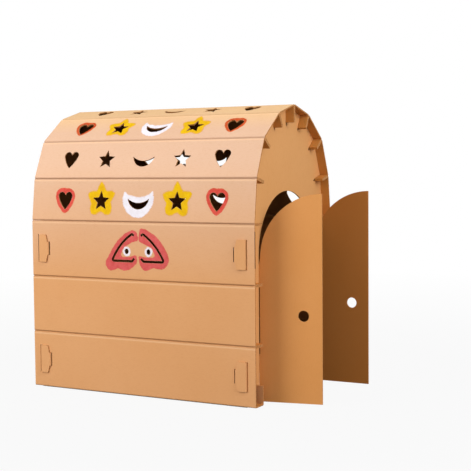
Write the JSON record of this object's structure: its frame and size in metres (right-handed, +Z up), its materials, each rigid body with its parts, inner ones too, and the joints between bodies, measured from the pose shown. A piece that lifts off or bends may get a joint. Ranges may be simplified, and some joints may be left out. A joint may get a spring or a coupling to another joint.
{
  "type": "cardboard playhouse",
  "caption": "Child-size cardboard playhouse with a pleated arched shell, cut-out hearts, stars and crescents, end walls locked by folded tongues, and arched doors.",
  "frame": {"origin": "on the floor, at the middle of the footprint that the house and its open doors cover", "axes": "+Z up, the doors open towards -Y, +X to the right when facing the back from the doors"},
  "size_m": [0.5696, 0.999, 0.9178],
  "materials": {
    "kraft_board": "matte",
    "red_paint": "brushed",
    "yellow_paint": "brushed",
    "white_paint": "brushed",
    "pink_paint": "brushed"
  },
  "bodies": {
    "house": {"left_shell": "kraft_board", "right_shell": "kraft_board", "front_wall": "kraft_board", "rear_wall": "kraft_board"},
    "left_door": {"left_door": "kraft_board"},
    "right_door": {"right_door": "kraft_board"}
  },
  "joints": [
    {"name": "left_door_hinge", "type": "hinge", "parent": "house", "child": "left_door", "pos_m": [-0.19903, -0.30146, 0], "axis": [0, 0, -1], "range_deg": [-79, 41]},
    {"name": "right_door_hinge", "type": "hinge", "parent": "house", "child": "right_door", "pos_m": [0.19903, -0.30146, 0], "axis": [0, 0, 1], "range_deg": [-91, 29]}
  ]
}
